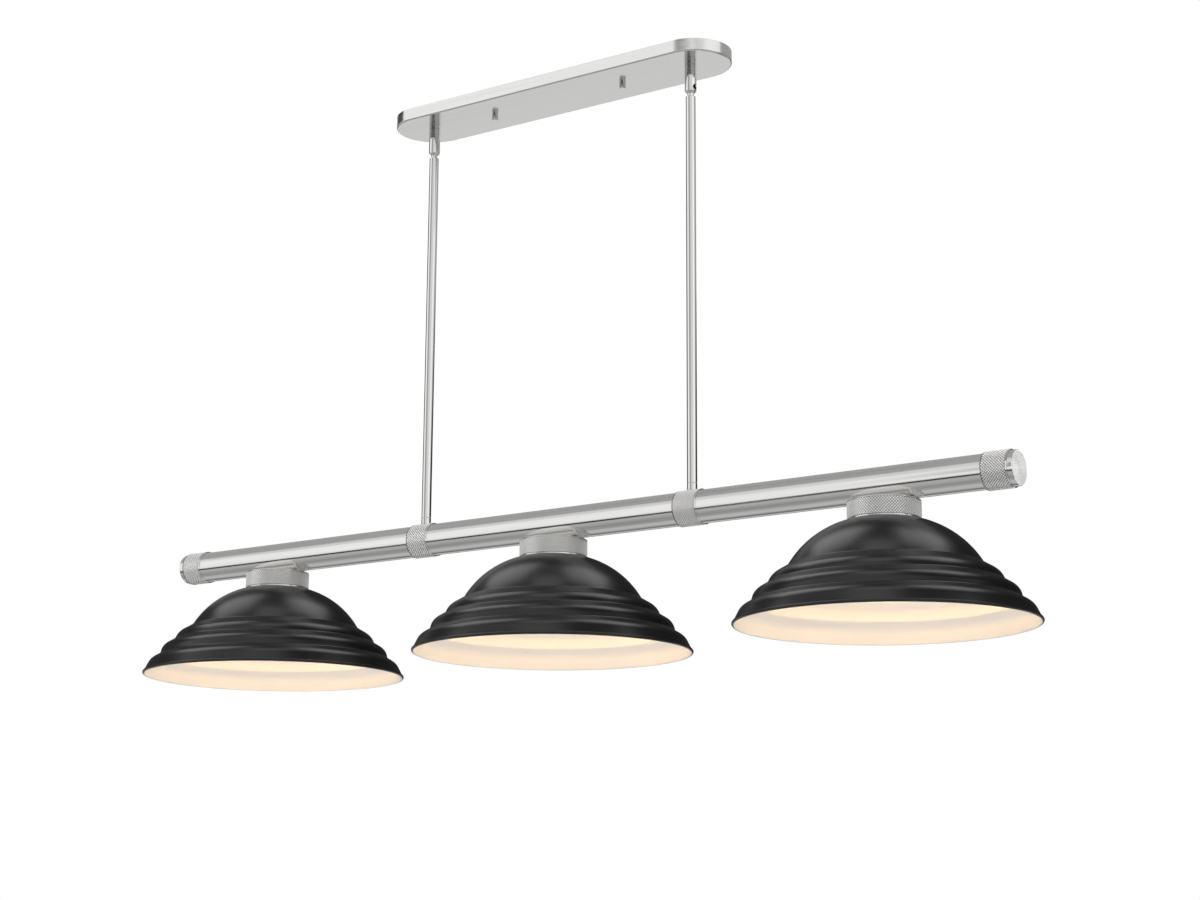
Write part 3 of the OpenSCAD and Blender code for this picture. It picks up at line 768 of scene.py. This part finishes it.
# The two lamps of the room: place, target, size and power
KEY = ((-2.2, -2.4, 0.8), (0, 0, -0.6), (1.5, 1.5), 70)
FILL = ((2.6, -1.6, -0.2), (0, 0, -0.5), (1.8, 1.8), 26)

# Soft boxes that only the painted shades catch, seen from the right shade: place, size and power. The photo
# shows the same highlights on all three. So each shade has its own set, turned as far as the camera stands
# round it.
SHEENS = (
    ((-5.4, 0.7, 8.2), 5.4, 170),
    ((2.9, 3.0, 9.0), 5.2, 165),
    ((0.6, -3.1, 9.4), 4.6, 90),
)

# A soft panel that only the turned end faces catch
FACE_LAMP_AT = (3.2, 4.6, 0.5)
FACE_LAMP_TARGET = (0.69, 0, -0.59)
FACE_LAMP_SIZE = (3.0, 2.4)
FACE_LAMP_POWER = 30

# The grey ceiling of the studio, which the metal catches and the paint does not
CEILING_ANGLE = math.radians(111)
CEILING_DISTANCE = 7.0
CEILING_SIZE = (24.0, 17.2)
CEILING_POWER = 490


def camera_side(node):
    """The side on which the camera stands, seen from a node, as an angle round Z."""
    away = Vector(CAMERA_PLACE) - centre_of(node)
    return math.atan2(away.y, away.x)


def group(name, members):
    collection = bpy.data.collections.new(name)
    for member in members:
        collection.objects.link(bpy.data.objects[member])
    return collection


def shine(name, place_at, target, size, power, receivers):
    """A lamp that shows as a highlight, and only on the receivers. Nothing else shades them from it."""
    lamp = make_lamp(name, place_at, target, size, power)
    lamp.visible_glossy = True
    lamp.light_linking.receiver_collection = receivers
    lamp.light_linking.blocker_collection = receivers


def make_lights():
    make_lamp("key", *KEY)
    make_lamp("fill", *FILL)
    for place_name in PLACES:
        middle = centre_of(f"shade_{place_name}")
        painted = group(f"painted_{place_name}", [f"shade_skin_{place_name}"])
        round_by = camera_side(f"shade_{place_name}") - camera_side("shade_right")
        turn = Matrix.Rotation(round_by, 3, "Z")
        for number, (offset, size, power) in enumerate(SHEENS):
            place_at = middle + turn @ Vector(offset)
            shine(f"sheen_{place_name}_{number}", place_at, middle, (size, size), power, painted)
    metal = group("metal", [piece.name for piece in bpy.context.scene.objects
                            if piece.type == "MESH" and not piece.name.startswith("shade_skin_")])
    centre = Vector((0, 0, bar_z))
    above = Vector((0, -math.cos(CEILING_ANGLE), math.sin(CEILING_ANGLE)))
    shine("ceiling", centre + CEILING_DISTANCE * above, centre, CEILING_SIZE, CEILING_POWER, metal)
    faces = group("end_faces", [f"end_plug_{side}" for side in SIDES])
    shine("face", FACE_LAMP_AT, FACE_LAMP_TARGET, FACE_LAMP_SIZE, FACE_LAMP_POWER, faces)


# The studio as polished metal sees it, in degrees and grey. UPRIGHT goes round the X axis, from the front
# over the top. LEVEL goes round the Z axis, from the front to the right. It holds only a little above the
# horizon, where it comes in over the heights LEVEL_FROM and goes out over LEVEL_TO.
UPRIGHT = (
    (-180, 0.10), (-166, 0.12), (-161, 0.78), (-150, 0.78), (-146, 0.20), (-126, 0.24), (-117, 0.56),
    (-92, 0.60), (-84, 0.42), (-62, 0.33), (-52, 0.42), (-40, 0.50), (-29, 0.54), (-26, 0.02), (-18, 0.02),
    (-15, 1.0), (26, 1.08), (36, 0.82), (56, 0.76), (62, 0.04), (160, 0.04), (168, 0.12), (180, 0.12),
)
LEVEL = (
    (-180, 0.05), (-74, 0.08), (-69, 1.05), (-27, 1.05), (-22, 0.36), (-8, 0.38), (10, 0.58), (27, 0.88),
    (42, 0.76), (58, 0.86), (76, 1.15), (102, 1.1), (117, 0.7), (123, 0.02), (160, 0.02),
)
LEVEL_FROM = (0.0, 0.04)
LEVEL_TO = (0.42, 0.50)

# What the room gives to everything that is no mirror
SOFT_STRENGTH = 0.46


def add_ramp(nodes, links, angle, table):
    """Grey by an angle in radians, from a table in degrees."""
    share = nodes.new("ShaderNodeMapRange")
    share.inputs["From Min"].default_value = -math.pi
    share.inputs["From Max"].default_value = math.pi
    ramp = nodes.new("ShaderNodeValToRGB")
    links.new(angle, share.inputs["Value"])
    links.new(share.outputs["Result"], ramp.inputs["Fac"])
    stops = ramp.color_ramp.elements
    while len(stops) < len(table):
        stops.new(0.5)
    for stop, (degrees, grey) in zip(stops, table):
        stop.position = (degrees + 180) / 360
        stop.color = (grey, grey, grey, 1)
    return ramp.outputs["Color"]


def add_math(nodes, links, operation, first, second):
    """A math node. Each input is a socket or a number."""
    step = nodes.new("ShaderNodeMath")
    step.operation = operation
    for socket, value in zip(step.inputs, (first, second)):
        if isinstance(value, (int, float)):
            socket.default_value = value
        else:
            links.new(value, socket)
    return step.outputs["Value"]


def make_world():
    world = bpy.data.worlds.new("studio")
    bpy.context.scene.world = world
    world.use_nodes = True
    nodes, links = world.node_tree.nodes, world.node_tree.links
    nodes.clear()
    output = nodes.new("ShaderNodeOutputWorld")
    where = nodes.new("ShaderNodeTexCoord")
    split = nodes.new("ShaderNodeSeparateXYZ")
    links.new(where.outputs["Generated"], split.inputs["Vector"])
    x, y, z = split.outputs
    front = add_math(nodes, links, "MULTIPLY", y, -1.0)
    upright = add_ramp(nodes, links, add_math(nodes, links, "ARCTAN2", z, front), UPRIGHT)
    level = add_ramp(nodes, links, add_math(nodes, links, "ARCTAN2", x, front), LEVEL)
    rising = add_range(nodes, links, z, 0, 1, LEVEL_FROM)
    falling = add_range(nodes, links, z, 1, 0, LEVEL_TO)
    blend = nodes.new("ShaderNodeMix")
    blend.data_type = "RGBA"
    links.new(add_math(nodes, links, "MULTIPLY", rising, falling), blend.inputs["Factor"])
    colours = [socket for socket in blend.inputs if socket.type == "RGBA"]
    links.new(upright, colours[0])
    links.new(level, colours[1])
    tent = nodes.new("ShaderNodeBackground")
    mixed = [socket for socket in blend.outputs if socket.type == "RGBA"]
    links.new(mixed[0], tent.inputs["Color"])
    soft = nodes.new("ShaderNodeBackground")
    soft.inputs["Color"].default_value = (1, 1, 1, 1)
    soft.inputs["Strength"].default_value = SOFT_STRENGTH
    white = nodes.new("ShaderNodeBackground")
    white.inputs["Color"].default_value = (1, 1, 1, 1)
    ray = nodes.new("ShaderNodeLightPath")
    glossy = nodes.new("ShaderNodeMixShader")
    seen = nodes.new("ShaderNodeMixShader")
    through = add_math(nodes, links, "MAXIMUM", ray.outputs["Is Camera Ray"],
                       ray.outputs["Is Transmission Ray"])
    links.new(ray.outputs["Is Glossy Ray"], glossy.inputs["Fac"])
    links.new(soft.outputs["Background"], glossy.inputs[1])
    links.new(tent.outputs["Background"], glossy.inputs[2])
    links.new(through, seen.inputs["Fac"])
    links.new(glossy.outputs["Shader"], seen.inputs[1])
    links.new(white.outputs["Background"], seen.inputs[2])
    links.new(seen.outputs["Shader"], output.inputs["Surface"])


FLOOR_Z = -1.9
FLOOR_HALF = 6.0
FLOOR_GREY = 0.9
FLOOR_ROUGHNESS = 0.9


def make_floor():
    """Pale floor, clear from below so that the light can be seen from there too."""
    corners = [(-FLOOR_HALF, -FLOOR_HALF), (FLOOR_HALF, -FLOOR_HALF), (FLOOR_HALF, FLOOR_HALF),
               (-FLOOR_HALF, FLOOR_HALF)]
    mesh = bpy.data.meshes.new("floor")
    mesh.from_pydata([(x, y, FLOOR_Z) for x, y in corners], [], [[0, 1, 2, 3]])
    floor = bpy.data.objects.new("floor", mesh)
    bpy.context.scene.collection.objects.link(floor)
    material, nodes, links, shader = new_material("floor_paper")
    shader.inputs["Base Color"].default_value = (FLOOR_GREY, FLOOR_GREY, FLOOR_GREY, 1)
    shader.inputs["Roughness"].default_value = FLOOR_ROUGHNESS
    shader.inputs["Specular IOR Level"].default_value = 0.1
    clear = nodes.new("ShaderNodeBsdfTransparent")
    side = nodes.new("ShaderNodeNewGeometry")
    mix = nodes.new("ShaderNodeMixShader")
    links.new(side.outputs["Backfacing"], mix.inputs["Fac"])
    links.new(shader.outputs["BSDF"], mix.inputs[1])
    links.new(clear.outputs["BSDF"], mix.inputs[2])
    links.new(mix.outputs["Shader"], nodes["Material Output"].inputs["Surface"])
    mesh.materials.append(material)
    floor.visible_glossy = False


make_camera()
for place_name in PLACES:
    make_shade(place_name)
    make_drum(place_name)
for side in SIDES:
    make_ring(f"rod_ring_{side}")
    make_ring(f"end_ring_{side}")
make_bar()
make_rods()
make_swivels()
make_canopy_nuts()
dress_nodes()
make_lights()
make_world()
make_floor()
bpy.context.scene.view_settings.view_transform = "Standard"
